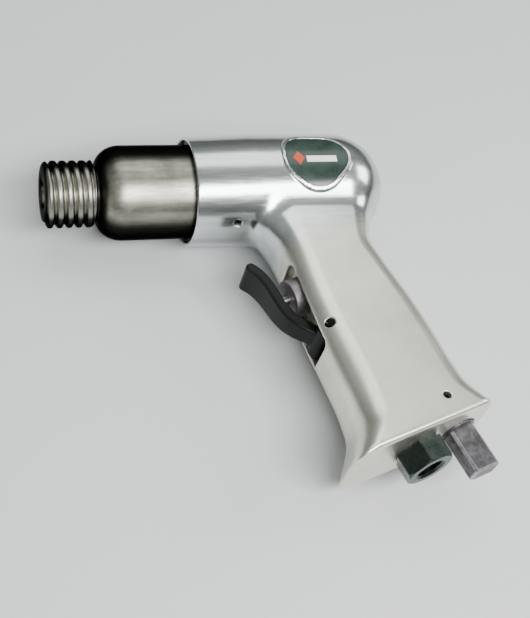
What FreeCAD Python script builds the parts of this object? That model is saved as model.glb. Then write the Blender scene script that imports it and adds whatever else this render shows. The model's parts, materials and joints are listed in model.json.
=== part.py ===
"""Pneumatic air hammer, lying on its side.

Tool frame, millimetres: the origin is the centre of the nose face, +X runs back along the barrel,
+Y points from the grip to the top of the barrel, and +Z points up, out of the tool's left side.

Grip frame, used for what sits in the grip: x runs back across the grip, y runs up the grip from
its base towards the barrel, z is the tool's Z. Its origin lies on the barrel axis.
"""
import FreeCAD, Part
import math
import os

Vec = FreeCAD.Vector
X = Vec(1, 0, 0)
Y = Vec(0, 1, 0)
Z = Vec(0, 0, 1)

# Running and assembly clearances
RUN = 0.05
ASSEMBLY = 0.03

# Cylinder: nose thread, neck, domed shoulder, body and rear thread
THREAD_R = 14.0
THREAD_PITCH = 4.0
THREAD_DEPTH = 1.3
THREAD_END = 20.0
NECK_R = 11.5
SHOULDER_START = 22.0
SHOULDER_LENGTH = 9.0
CYLINDER_R = 20.0
CYLINDER_THREAD_R = 19.0
CYLINDER_THREAD_START = 74.0
CYLINDER_RING_X = 84.0
CYLINDER_END = 96.0
SHANK_R = 5.15
BORE_START = 31.0
BORE_R = 9.55
PORT_X = 67.0
PORT_R = 2.0
PORT_COUNT = 6

# Piston
PISTON_R = BORE_R - RUN
PISTON_LENGTH = 24.0
PISTON_REST_GAP = 0.5

# Valve stack behind the cylinder
STACK_R = 18.5
SEAT_END = 103.0
CHAMBER_DEPTH = 3.5
CHAMBER_R = 9.6
DISC_R = 9.2
DISC_THICK = 2.0
CAP_END = 112.0
GASKET_END = 113.5
STACK_PORT_RING = 13.0
STACK_PORT_R = 1.3
DOWEL_R = 1.25
DOWEL_RING = 15.6

# Housing barrel
MOUTH_X = 60.0
MOUTH_R = 23.2
MOUTH_BORE_R = 21.8
MOUTH_DEPTH = 10.0
BARREL_R = 24.2
BARREL_FULL_X = 88.0
TOOL_LENGTH = 150.0
PLENUM_R = 10.0
PLENUM_END = 124.0

# Exhaust deflector ring in the mouth
DEFLECTOR_START = 61.6
DEFLECTOR_END = 66.0
DEFLECTOR_SLOTS = 14
DEFLECTOR_SLOT_WIDTH = 2.0

# Cylinder lock screw, radial, measured round the barrel from +Y towards +Z
LOCK_X = 78.0
LOCK_ANGLE = 164.0
LOCK_R = 1.6

# Badge on the left side: a flat-topped drop, pointed at its upper front corner
BADGE_X = 114.0
BADGE_Y = -2.8
BADGE_RIM = 1.6
BADGE_RIM_R = 25.0
BADGE_FACE_R = 24.7
BADGE_SEAT_R = 23.5
BADGE_CORNERS = (
    (-12.9, 12.5, 9.0),
    (10.4, 11.8, 11.0),
    (15.2, -1.4, 9.0),
    (0.2, -15.4, 12.0),
    (-14.6, -4.6, 10.0),
)

# Grip frame
GRIP_LEAN = 16.0
GRIP_X = 99.4
GRIP_BASE = -133.0

# Grip sections: y, front, rear, half thickness, front corner radius, rear corner radius
GRIP_SECTIONS = (
    (-8.0, -20.5, 34.0, 15.4, 15.0, 15.0),
    (-16.0, -19.5, 36.5, 15.4, 15.0, 15.0),
    (-23.0, -18.2, 36.2, 15.4, 14.0, 14.5),
    (-30.0, -17.0, 33.4, 15.3, 12.0, 13.0),
    (-37.0, -16.7, 28.0, 15.2, 10.5, 11.0),
    (-44.0, -17.6, 23.4, 15.3, 10.0, 9.5),
    (-56.0, -20.0, 22.9, 15.0, 10.0, 9.0),
    (-75.0, -23.2, 23.8, 15.0, 10.5, 9.0),
    (-95.0, -25.6, 23.6, 15.0, 11.0, 9.0),
    (-110.0, -27.6, 22.6, 15.3, 11.0, 9.0),
    (-120.0, -30.6, 22.6, 16.0, 11.0, 9.0),
    (-128.0, -37.0, 24.4, 17.0, 10.0, 8.0),
    (GRIP_BASE, -41.5, 26.0, 17.4, 9.0, 7.0),
)

# Trigger channel in the front of the grip
CHANNEL_TOP = -43.0
CHANNEL_BOTTOM = -83.6
CHANNEL_FLOOR = -12.0
CHANNEL_HALF = 8.7
CHANNEL_CORNER_R = 3.0

# Trigger and its pin
PIVOT_X = -18.6
PIVOT_Y = -76.4
TRIGGER_PIN_R = 1.5
TRIGGER_PIN_HALF = 13.2
TRIGGER_TIP_HALF = 7.8
TRIGGER_PIVOT_HALF = 4.4
TRIGGER_TIP_Y = -36.3
TRIGGER_BOSS_R = 3.7
TRIGGER_BOSS_HALF = 8.2
TRIGGER_THICK = 5.0
TRIGGER_TIP_THICK = 4.4
TRIGGER_LINE = ((-22.4, -71.2), (-26.6, -65.4), (-28.6, -57.5), (-29.2, -49.0), (-32.8, -38.5))

# Throttle: bush, stem, poppet and spring on one axis across the grip
THROTTLE_Y = -54.2
BUSH_HEAD_R = 8.0
BUSH_HEAD_START = -22.4
BUSH_SHANK_R = 6.6
BUSH_SHANK_END = 0.0
STEM_R = 2.5
STEM_TIP = -26.5
POPPET_R = 4.6
POPPET_END = 3.6
CHAMBER_BORE_R = 5.6
CHAMBER_BORE_END = 15.0
SPRING_R = 3.6
SPRING_WIRE_R = 0.4
SPRING_TURNS = 5

# Air inlet under the grip
INLET_X = -7.6
INLET_HEX = 19.0
INLET_HEX_LENGTH = 9.5
INLET_HEX_TURN = 20.0
INLET_HEX_CORNER_R = 0.7
INLET_GASKET = 1.0
INLET_SHANK_R = 8.6
INLET_SHANK_TOP = -117.0
INLET_THREAD_R = 5.7
INLET_THREAD_LENGTH = 15.0
INLET_BORE_R = 4.6
INLET_TOP = -106.0

# Air regulator beside the inlet
REG_X = 13.0
REG_SPINDLE_R = 7.4
REG_TOP = -106.0
REG_PORT_Y = -112.0
REG_PORT_R = 2.5
REG_PIN_Y = -123.4
REG_PIN_OFFSET = 6.1
REG_PIN_R = 1.25
REG_RING_Y = -128.6
REG_RING_R = 0.9
REG_KEY_WIDTH = 11.6
REG_KEY_DEPTH = 8.0
REG_KEY_END = -153.0
RISER_R = 4.0
FEED_R = 3.5


# ---------------------------------------------------------------- general shapes

def along_x(radius, start, end):
    """A round bar on the barrel axis."""
    return Part.makeCylinder(radius, end - start, Vec(start, 0, 0), X)


def bar(radius, start, end):
    """A round bar between two points."""
    a = Vec(*start)
    b = Vec(*end)
    return Part.makeCylinder(radius, (b - a).Length, a, b - a)


def box(x0, x1, y0, y1, z0, z1):
    """A box between two corners."""
    return Part.makeBox(x1 - x0, y1 - y0, z1 - z0, Vec(x0, y0, z0))


def about_x(points):
    """A solid of revolution about the barrel axis, from a closed outline of (x, radius) points."""
    wire = Part.makePolygon([Vec(x, r, 0) for x, r in points] + [Vec(points[0][0], points[0][1], 0)])
    return Part.Face(wire).revolve(Vec(0, 0, 0), X, 360)


def ring_about_x(x, major, minor):
    """An O-ring on the barrel axis."""
    return Part.makeTorus(major, minor, Vec(x, 0, 0), X)


def around_x(shape, count, first=0.0):
    """Copies of a shape, evenly spaced round the barrel axis."""
    copies = []
    for i in range(count):
        copy = shape.copy()
        copy.rotate(Vec(0, 0, 0), X, first + 360.0 * i / count)
        copies.append(copy)
    return copies


def from_grip(shape):
    """Carries a shape from the grip frame to the tool frame."""
    placed = shape.copy()
    placed.rotate(Vec(0, 0, 0), Z, GRIP_LEAN)
    placed.translate(Vec(GRIP_X, 0, 0))
    return placed


def cut_each(shape, tools):
    """Takes the tools from a shape one after another, since some of them overlap."""
    for tool in tools:
        shape = shape.cut(tool)
    return shape


def fillet_where(shape, radius, wanted):
    """Rounds the edges that the test picks."""
    return shape.makeFillet(radius, [e for e in shape.Edges if wanted(e)])


def edges_at(axis, value, tolerance=0.01):
    """A test for edges that lie in a plane across x, y or z."""
    def test(edge):
        low = (edge.BoundBox.XMin, edge.BoundBox.YMin, edge.BoundBox.ZMin)[axis]
        high = (edge.BoundBox.XMax, edge.BoundBox.YMax, edge.BoundBox.ZMax)[axis]
        return abs(low - value) < tolerance and abs(high - value) < tolerance
    return test


def hexagon(across_flats, centre_x, y_low, y_high, turn, corner_r):
    """A hexagonal prism along the grip frame's y, one corner turned from +Z towards the front."""
    corner = across_flats / math.sqrt(3)
    angles = [math.radians(90 + turn + 60 * i) for i in range(7)]
    points = [Vec(centre_x + corner * math.cos(a), y_low, corner * math.sin(a)) for a in angles]
    prism = Part.Face(Part.makePolygon(points)).extrude(Vec(0, y_high - y_low, 0))
    return fillet_where(prism, corner_r, lambda e: e.BoundBox.YLength > 1)


# ---------------------------------------------------------------- cylinder, piston and valve

def cylinder():
    """The steel cylinder: a coarse round thread for the retainer spring, then the barrel proper."""
    nose_tip_r = THREAD_R - THREAD_DEPTH
    outer = along_x(THREAD_R, 0, THREAD_END).fuse(along_x(NECK_R, 0, SHOULDER_START + 3))
    shoulder = Part.makeSphere(1.0)
    stretch = FreeCAD.Matrix()
    stretch.scale(SHOULDER_LENGTH, CYLINDER_R, CYLINDER_R)
    shoulder = shoulder.transformGeometry(stretch)
    shoulder.translate(Vec(SHOULDER_START + SHOULDER_LENGTH, 0, 0))
    shoulder = shoulder.common(along_x(CYLINDER_R + 1, SHOULDER_START, SHOULDER_START + SHOULDER_LENGTH))
    outer = outer.fuse([
        shoulder,
        along_x(CYLINDER_R, SHOULDER_START + SHOULDER_LENGTH, CYLINDER_THREAD_START),
        along_x(CYLINDER_THREAD_R - ASSEMBLY, CYLINDER_THREAD_START, CYLINDER_END),
    ])
    lead = about_x([(-1, nose_tip_r - 1), (1.2, THREAD_R + 0.2), (1.2, THREAD_R + 3), (-1, THREAD_R + 3)])
    grooves = []
    crest = THREAD_PITCH / 2
    while crest + THREAD_PITCH / 2 < THREAD_END:
        grooves.append(ring_about_x(crest + THREAD_PITCH / 2 + 0.4, THREAD_R + 0.1, THREAD_DEPTH + 0.1))
        crest += THREAD_PITCH
    ports = around_x(bar(PORT_R, (PORT_X, 0, 0), (PORT_X, CYLINDER_R + 2, 0)), PORT_COUNT, 30.0)
    dowel_hole = bar(DOWEL_R + ASSEMBLY, (CYLINDER_END - 4, DOWEL_RING, 0), (CYLINDER_END + 1, DOWEL_RING, 0))
    ring_groove = ring_about_x(CYLINDER_RING_X, CYLINDER_THREAD_R, 1.0)
    hollow = [
        along_x(SHANK_R, -1, BORE_START + 1),
        along_x(BORE_R, BORE_START, CYLINDER_END + 1),
        lead,
        dowel_hole,
        ring_groove,
        bar(LOCK_R, *lock_line(CYLINDER_THREAD_R - 1.2, CYLINDER_THREAD_R + 2)),
    ]
    return cut_each(outer, hollow + grooves + ports)


def cylinder_o_ring():
    """The seal in the groove at the front of the cylinder's rear thread."""
    return ring_about_x(CYLINDER_RING_X, CYLINDER_THREAD_R - 0.05, 0.9).common(
        along_x(CYLINDER_THREAD_R - ASSEMBLY, CYLINDER_THREAD_START, CYLINDER_END))


def piston():
    """The hammer piston, at the rear end of its stroke, with two oil grooves."""
    rear = CYLINDER_END - PISTON_REST_GAP
    body = along_x(PISTON_R, rear - PISTON_LENGTH, rear)
    body = body.makeChamfer(0.6, [e for e in body.Edges if edges_at(0, rear)(e)
                                  or edges_at(0, rear - PISTON_LENGTH)(e)])
    grooves = [about_x([(x, PISTON_R - 0.5), (x + 1, PISTON_R - 0.5), (x + 1, PISTON_R + 1), (x, PISTON_R + 1)])
               for x in (rear - 16.5, rear - 8.5)]
    return body.cut(grooves)


def stack_ports(start, end):
    """The ring of small air passages through the valve blocks."""
    return around_x(bar(STACK_PORT_R, (start, STACK_PORT_RING, 0), (end, STACK_PORT_RING, 0)), 6, 30.0)


def dowel_bore(start, end):
    return bar(DOWEL_R + ASSEMBLY, (start, DOWEL_RING, 0), (end, DOWEL_RING, 0))


def valve_seat():
    """The front valve block: a centre port, and the chamber in which the disc flaps."""
    block = along_x(STACK_R, CYLINDER_END, SEAT_END)
    hollow = [
        along_x(3.5, CYLINDER_END - 1, SEAT_END),
        along_x(CHAMBER_R, SEAT_END - CHAMBER_DEPTH, SEAT_END + 1),
        dowel_bore(CYLINDER_END - 1, SEAT_END + 1),
    ]
    return block.cut(hollow + stack_ports(CYLINDER_END - 1, SEAT_END + 1))


def valve_disc():
    """The steel disc that shuts one port and then the other."""
    start = SEAT_END - CHAMBER_DEPTH + 0.1
    return along_x(DISC_R, start, start + DISC_THICK)


def valve_cap():
    """The rear valve block."""
    block = along_x(STACK_R, SEAT_END, CAP_END)
    hollow = [
        along_x(4.5, SEAT_END - 1, CAP_END + 1),
        along_x(7.5, CAP_END - 3, CAP_END + 1),
        dowel_bore(SEAT_END - 1, CAP_END - 3),
    ]
    return block.cut(hollow + stack_ports(SEAT_END - 1, CAP_END + 1))


def valve_dowel():
    """The pin that keeps the cylinder's and the blocks' passages in line."""
    return bar(DOWEL_R, (CYLINDER_END - 3.8, DOWEL_RING, 0), (CAP_END - 3.2, DOWEL_RING, 0))


def valve_gasket():
    """The flat ring between the valve stack and the housing."""
    return along_x(STACK_R, CAP_END, GASKET_END).cut(along_x(PLENUM_R + 1.0, CAP_END - 1, GASKET_END + 1))


# ---------------------------------------------------------------- housing

def rounded_section(y, front, rear, half, front_r, rear_r):
    """One cross-section of the grip: a rectangle with round corners, in the grip frame."""
    def corner(cx, cz, radius, start):
        at = [math.radians(start + a) for a in (0, 45, 90)]
        return Part.Arc(*[Vec(cx + radius * math.cos(a), y, cz + radius * math.sin(a)) for a in at])
    arcs = [
        corner(rear - rear_r, half - rear_r, rear_r, 0),
        corner(front + front_r, half - front_r, front_r, 90),
        corner(front + front_r, front_r - half, front_r, 180),
        corner(rear - rear_r, rear_r - half, rear_r, 270),
    ]
    edges = []
    for i, arc in enumerate(arcs):
        edges.append(arc.toShape())
        edges.append(Part.LineSegment(arc.EndPoint, arcs[(i + 1) % 4].StartPoint).toShape())
    return Part.Wire(edges)


def grip_body():
    """The grip, from inside the barrel down to its flared base."""
    loft = Part.makeLoft([rounded_section(*row) for row in GRIP_SECTIONS], True, False)
    return fillet_where(loft, 1.2, edges_at(1, GRIP_BASE))


def barrel_body():
    """The barrel of the housing: a slight taper to the mouth, and a round rear end."""
    dome_x = TOOL_LENGTH - BARREL_R
    tip = Vec(TOOL_LENGTH, 0, 0)
    middle = Vec(dome_x + BARREL_R * math.cos(math.pi / 4), BARREL_R * math.sin(math.pi / 4), 0)
    outline = [
        Part.LineSegment(Vec(MOUTH_X, 0, 0), Vec(MOUTH_X, MOUTH_R - 0.4, 0)),
        Part.LineSegment(Vec(MOUTH_X, MOUTH_R - 0.4, 0), Vec(MOUTH_X + 0.4, MOUTH_R, 0)),
        Part.LineSegment(Vec(MOUTH_X + 0.4, MOUTH_R, 0), Vec(BARREL_FULL_X, BARREL_R, 0)),
        Part.LineSegment(Vec(BARREL_FULL_X, BARREL_R, 0), Vec(dome_x, BARREL_R, 0)),
        Part.Arc(Vec(dome_x, BARREL_R, 0), middle, tip),
        Part.LineSegment(tip, Vec(MOUTH_X, 0, 0)),
    ]
    return Part.Face(Part.Wire([c.toShape() for c in outline])).revolve(Vec(0, 0, 0), X, 360)


def rounded_polygon(corners):
    """A closed wire at z = 0 through corners given as (x, y, corner radius)."""
    count = len(corners)
    arcs = []
    for i in range(count):
        x, y, radius = corners[i]
        here = Vec(x, y, 0)
        back = (Vec(*corners[i - 1][:2], 0) - here).normalize()
        on = (Vec(*corners[(i + 1) % count][:2], 0) - here).normalize()
        half = back.getAngle(on) / 2
        reach = radius / math.tan(half)
        inward = (back + on).normalize()
        centre = here + inward * (radius / math.sin(half))
        arcs.append(Part.Arc(here + back * reach, centre - inward * radius, here + on * reach))
    edges = []
    for i in range(count):
        edges.append(arcs[i].toShape())
        edges.append(Part.LineSegment(arcs[i].EndPoint, arcs[(i + 1) % count].StartPoint).toShape())
    return Part.Wire(edges)


def badge_prism(grow):
    """A prism on the badge's outline, an egg with a flat top, grown by a margin."""
    outline = rounded_polygon([(BADGE_X + x, BADGE_Y + y, r) for x, y, r in BADGE_CORNERS])
    if grow:
        outline = outline.makeOffset2D(grow)
    return Part.Face(outline).extrude(Vec(0, 0, BADGE_RIM_R + 2))


def tube_along_x(inner, outer):
    """A tube on the barrel axis, longer than the badge."""
    return along_x(outer, BADGE_X - 25, BADGE_X + 25).cut(along_x(inner, BADGE_X - 26, BADGE_X + 26))


def badge():
    """The name plate: a thin plate curved like the barrel. It carries a plain raised rhombus and bar."""
    plate = badge_prism(-ASSEMBLY).common(tube_along_x(BADGE_SEAT_R + ASSEMBLY, BADGE_FACE_R))
    rhombus = ((-11.4, 0.0), (-8.8, 3.4), (-6.2, 0.0), (-8.8, -3.4))
    band = ((-5.4, -2.1), (-5.4, 0.9), (8.2, 0.9), (8.2, -2.1))
    raised = []
    for corners in (rhombus, band):
        wire = Part.makePolygon([Vec(BADGE_X + x, BADGE_Y + y, 0) for x, y in corners + corners[:1]])
        mark = Part.Face(wire).extrude(Vec(0, 0, BADGE_RIM_R + 2))
        raised.append(mark.common(tube_along_x(BADGE_FACE_R - 0.3, BADGE_FACE_R + 0.15)))
    return plate.fuse(raised)


def lock_line(inner, outer):
    """Two points on the lock screw's axis, given by their distances from the barrel axis."""
    a = math.radians(LOCK_ANGLE)
    return [(LOCK_X, r * math.cos(a), r * math.sin(a)) for r in (inner, outer)]


def lock_screw():
    """The set screw through the housing into a dimple in the cylinder."""
    body = bar(LOCK_R - ASSEMBLY, *lock_line(CYLINDER_THREAD_R - 1.0, BARREL_R - 1.4))
    socket = bar(LOCK_R / 2, *lock_line(BARREL_R - 3.4, BARREL_R))
    return body.cut(socket)


def barrel_hollows():
    """The stepped bore for cylinder and valve stack, with the plenum behind."""
    return [
        along_x(MOUTH_BORE_R, MOUTH_X - 1, MOUTH_X + MOUTH_DEPTH),
        along_x(CYLINDER_R + ASSEMBLY, MOUTH_X, CYLINDER_THREAD_START),
        along_x(CYLINDER_THREAD_R, MOUTH_X, CYLINDER_END),
        along_x(STACK_R + ASSEMBLY, MOUTH_X, GASKET_END),
        along_x(PLENUM_R, MOUTH_X, PLENUM_END),
        bar(LOCK_R, *lock_line(CYLINDER_THREAD_R - 2, BARREL_R + 2)),
    ]


def channel():
    """The trigger's channel in the front of the grip, with round corners at its two ends."""
    cut = box(-70, CHANNEL_FLOOR, CHANNEL_BOTTOM, CHANNEL_TOP, -CHANNEL_HALF, CHANNEL_HALF)
    return fillet_where(cut, CHANNEL_CORNER_R, lambda e: e.BoundBox.XLength > 1)


def grip_hollows():
    """Everything that is drilled or milled in the grip, in the grip frame."""
    throttle = (
        bar(BUSH_SHANK_R + ASSEMBLY, (CHANNEL_FLOOR - 1, THROTTLE_Y, 0), (BUSH_SHANK_END, THROTTLE_Y, 0)),
        bar(CHAMBER_BORE_R, (BUSH_SHANK_END - 1, THROTTLE_Y, 0), (CHAMBER_BORE_END, THROTTLE_Y, 0)),
    )
    pins = (
        bar(TRIGGER_PIN_R + ASSEMBLY, (PIVOT_X, PIVOT_Y, -25), (PIVOT_X, PIVOT_Y, 25)),
        bar(REG_PIN_R + ASSEMBLY, (REG_X - REG_PIN_OFFSET, REG_PIN_Y, -25), (REG_X - REG_PIN_OFFSET, REG_PIN_Y, 25)),
    )
    inlet = (
        bar(INLET_SHANK_R + ASSEMBLY, (INLET_X, GRIP_BASE - 1, 0), (INLET_X, INLET_SHANK_TOP, 0)),
        bar(INLET_BORE_R, (INLET_X, GRIP_BASE, 0), (INLET_X, INLET_TOP, 0)),
        bar(REG_PORT_R, (INLET_X, REG_PORT_Y, 0), (REG_X, REG_PORT_Y, 0)),
    )
    regulator_bore = (
        bar(REG_SPINDLE_R + RUN, (REG_X, GRIP_BASE - 1, 0), (REG_X, REG_TOP, 0)),
        bar(RISER_R, (REG_X, REG_TOP - 1, 0), (CHAMBER_BORE_END - RISER_R - 0.5, THROTTLE_Y, 0)),
    )
    return [channel(), *throttle, *pins, *inlet, *regulator_bore]


def feed_passage():
    """The passage from the throttle bush up to the plenum behind the valve."""
    start = from_grip(Part.Vertex(-6.0, THROTTLE_Y + 4.0, 0)).Point
    return bar(FEED_R, tuple(start), (PLENUM_END - FEED_R - 0.5, -6.0, 0))


def housing():
    """The cast body: barrel, grip and the raised rim of the badge in one piece."""
    body = barrel_body().fuse(from_grip(grip_body()))
    rim = badge_prism(BADGE_RIM).common(tube_along_x(BARREL_R - 2, BADGE_RIM_R))
    body = body.fuse(rim)
    badge_seat = badge_prism(0).cut(along_x(BADGE_SEAT_R, BADGE_X - 40, BADGE_X + 40))
    body = cut_each(body, barrel_hollows() + [badge_seat, feed_passage()])
    return cut_each(body, [from_grip(s) for s in grip_hollows()])


def exhaust_deflector():
    """The slotted ring in the mouth of the housing that spreads the exhaust air."""
    ring = along_x(MOUTH_BORE_R - ASSEMBLY, DEFLECTOR_START, DEFLECTOR_END)
    ring = ring.cut(along_x(CYLINDER_R + ASSEMBLY, DEFLECTOR_START - 1, DEFLECTOR_END + 1))
    half = DEFLECTOR_SLOT_WIDTH / 2
    slot = box(DEFLECTOR_START - 1, DEFLECTOR_END - 1.2, CYLINDER_R + 0.6, MOUTH_BORE_R + 2, -half, half)
    return ring.cut(around_x(slot, DEFLECTOR_SLOTS))


# ---------------------------------------------------------------- trigger and throttle

def trigger():
    """The S-shaped lever: a boss on the pin, a concave finger pad and a tip that flares forward."""
    line = [Vec(PIVOT_X, PIVOT_Y, 0)] + [Vec(x, y, 0) for x, y in TRIGGER_LINE]
    middle = Part.BSplineCurve()
    middle.interpolate(line)
    first = middle.FirstParameter
    last = middle.LastParameter
    front = []
    back = []
    steps = 8
    for i in range(steps + 1):
        t = first + (last - first) * i / steps
        thick = TRIGGER_THICK + (TRIGGER_TIP_THICK - TRIGGER_THICK) * i / steps
        point = middle.value(t)
        tangent = middle.tangent(t)[0]
        normal = Vec(-tangent.y, tangent.x, 0)
        front.append(point + normal * (thick / 2))
        back.append(point - normal * (thick / 2))
    front_curve = Part.BSplineCurve()
    front_curve.interpolate(front)
    back_curve = Part.BSplineCurve()
    back_curve.interpolate(back)
    tip_middle = line[-1] + middle.tangent(last)[0] * (TRIGGER_TIP_THICK / 2)
    outline = Part.Wire([
        front_curve.toShape(),
        Part.Arc(front[-1], tip_middle, back[-1]).toShape(),
        back_curve.toShape(),
        Part.LineSegment(back[0], front[0]).toShape(),
    ])
    lever = Part.Face(outline).extrude(Vec(0, 0, 2 * TRIGGER_TIP_HALF))
    lever.translate(Vec(0, 0, -TRIGGER_TIP_HALF))
    narrowing = [(PIVOT_Y, TRIGGER_PIVOT_HALF), (TRIGGER_TIP_Y, TRIGGER_TIP_HALF)]
    corners = [Vec(-60, y, half) for y, half in narrowing] + [Vec(-60, y, -half) for y, half in narrowing[::-1]]
    lever = lever.common(Part.Face(Part.makePolygon(corners + corners[:1])).extrude(Vec(60, 0, 0)))

    def on_a_side(edge):
        slope = (TRIGGER_TIP_HALF - TRIGGER_PIVOT_HALF) / (TRIGGER_TIP_Y - PIVOT_Y)
        ends = [abs(v.Z) - TRIGGER_PIVOT_HALF - slope * (v.Y - PIVOT_Y) for v in edge.Vertexes]
        return max(map(abs, ends)) < 0.01 and edge.Vertexes[0].Z * edge.Vertexes[-1].Z > 0 and edge.Length > 1

    lever = fillet_where(lever, 1.2, on_a_side)
    boss = bar(TRIGGER_BOSS_R, (PIVOT_X, PIVOT_Y, -TRIGGER_BOSS_HALF), (PIVOT_X, PIVOT_Y, TRIGGER_BOSS_HALF))
    pad = box(STEM_TIP - 4.0, STEM_TIP - 0.3, THROTTLE_Y - 4.5, THROTTLE_Y + 4.5, -5.0, 5.0)
    lever = lever.fuse([boss, pad])
    hole = bar(TRIGGER_PIN_R + RUN, (PIVOT_X, PIVOT_Y, -20), (PIVOT_X, PIVOT_Y, 20))
    flat = box(STEM_TIP - 0.3, STEM_TIP + 9, THROTTLE_Y - 4.5, THROTTLE_Y + 4.5, -9, 9)
    return from_grip(lever.cut([hole, flat]))


def trigger_pin():
    return from_grip(bar(TRIGGER_PIN_R, (PIVOT_X, PIVOT_Y, -TRIGGER_PIN_HALF), (PIVOT_X, PIVOT_Y, TRIGGER_PIN_HALF)))


def across_grip(radius, start, end):
    """A round bar on the throttle axis, in the grip frame."""
    return bar(radius, (start, THROTTLE_Y, 0), (end, THROTTLE_Y, 0))


def throttle_bush():
    """The bush that guides the stem, seats the poppet and lets the air out of its side."""
    head = across_grip(BUSH_HEAD_R, BUSH_HEAD_START, CHANNEL_FLOOR)
    head = fillet_where(head, 0.8, edges_at(0, BUSH_HEAD_START))
    shank = across_grip(BUSH_SHANK_R, CHANNEL_FLOOR, BUSH_SHANK_END)
    side_ports = [bar(1.6, (-4.0, THROTTLE_Y, 0), (-4.0, THROTTLE_Y + 9, 0)),
                  bar(1.6, (-4.0, THROTTLE_Y - 9, 0), (-4.0, THROTTLE_Y, 0))]
    hollow = [
        across_grip(STEM_R + RUN, BUSH_HEAD_START - 1, BUSH_SHANK_END + 1),
        across_grip(3.8, -6.0, BUSH_SHANK_END + 1),
        across_grip(3.6, -16.0, -13.6),
        Part.makeTorus(BUSH_SHANK_R, 0.8, Vec(-9.5, THROTTLE_Y, 0), X),
    ]
    return from_grip(head.fuse(shank).cut(hollow + side_ports))


def throttle_stem():
    """The push pin with its poppet."""
    pin = across_grip(STEM_R, STEM_TIP, 0.9)
    pin = fillet_where(pin, 1.2, edges_at(0, STEM_TIP))
    poppet = across_grip(POPPET_R, 0.9, POPPET_END)
    guide = across_grip(2.4, POPPET_END, POPPET_END + 2.5)
    return from_grip(pin.fuse([poppet, guide]))


def poppet_washer():
    """The rubber face seal under the poppet."""
    return from_grip(across_grip(POPPET_R, 0.15, 0.9).cut(across_grip(STEM_R, -1, 2)))


def stem_o_ring():
    """The seal in the bush, round the stem."""
    ring = Part.makeTorus(STEM_R + 0.05 + 0.5, 0.5, Vec(-14.8, THROTTLE_Y, 0), X)
    return from_grip(ring)


def bush_o_ring():
    """The seal round the bush, just under its head."""
    ring = Part.makeTorus(BUSH_SHANK_R, 0.75, Vec(-9.5, THROTTLE_Y, 0), X)
    return from_grip(ring.common(across_grip(BUSH_SHANK_R, -12, -7)))


def throttle_spring():
    """The spring between the poppet and the bottom of its bore."""
    start = POPPET_END + SPRING_WIRE_R + 0.05
    end = CHAMBER_BORE_END - SPRING_WIRE_R - 0.05
    helix = Part.makeHelix((end - start) / SPRING_TURNS, end - start, SPRING_R)
    circle = Part.Wire(Part.makeCircle(SPRING_WIRE_R, Vec(SPRING_R, 0, 0), Y))
    coil = Part.Wire(helix).makePipeShell([circle], True, True)
    coil.rotate(Vec(0, 0, 0), Y, 90)
    coil.translate(Vec(start, THROTTLE_Y, 0))
    return from_grip(coil)


# ---------------------------------------------------------------- inlet and regulator

def up_grip(radius, x, low, high):
    """A round bar along the grip, in the grip frame."""
    return bar(radius, (x, low, 0), (x, high, 0))


def inlet_bushing():
    """The hexagonal bushing that takes the air coupler."""
    top = GRIP_BASE - INLET_GASKET
    low = top - INLET_HEX_LENGTH
    corner = INLET_HEX / math.sqrt(3)
    crown = Part.makeCone(corner - 1.4, corner + 0.6, 2.0 * 0.7, Vec(INLET_X, low, 0), Y)
    crown = crown.fuse(up_grip(corner + 0.6, INLET_X, low + 1.4, top))
    head = hexagon(INLET_HEX, INLET_X, low, top, INLET_HEX_TURN, INLET_HEX_CORNER_R).common(crown)
    shank = up_grip(INLET_SHANK_R, INLET_X, top, INLET_SHANK_TOP - 0.2)
    hollow = [
        up_grip(INLET_THREAD_R, INLET_X, low - 1, low + INLET_THREAD_LENGTH),
        up_grip(INLET_BORE_R, INLET_X, low, INLET_SHANK_TOP + 1),
        Part.makeCone(INLET_THREAD_R + 1.0, INLET_THREAD_R, 1.0, Vec(INLET_X, low, 0), Y),
    ]
    return from_grip(head.fuse(shank).cut(hollow))


def inlet_gasket():
    ring = up_grip(INLET_HEX / 2 - 0.3, INLET_X, GRIP_BASE - INLET_GASKET, GRIP_BASE)
    return from_grip(ring.cut(up_grip(INLET_SHANK_R + ASSEMBLY, INLET_X, GRIP_BASE - 2, GRIP_BASE + 1)))


def inlet_screen():
    """The cup-shaped strainer at the end of the coupler thread."""
    low = GRIP_BASE - INLET_GASKET - INLET_HEX_LENGTH + INLET_THREAD_LENGTH
    cup = up_grip(INLET_BORE_R - ASSEMBLY, INLET_X, low, low + 6.0)
    cup = cup.cut(up_grip(INLET_BORE_R - 0.6, INLET_X, low - 1, low + 5.4))
    holes = [bar(0.7, (INLET_X + 2.2 * math.cos(a), low + 4, 2.2 * math.sin(a)),
                 (INLET_X + 2.2 * math.cos(a), low + 8, 2.2 * math.sin(a)))
             for a in [math.radians(60 * i) for i in range(6)]]
    return from_grip(cup.cut(holes))


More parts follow.
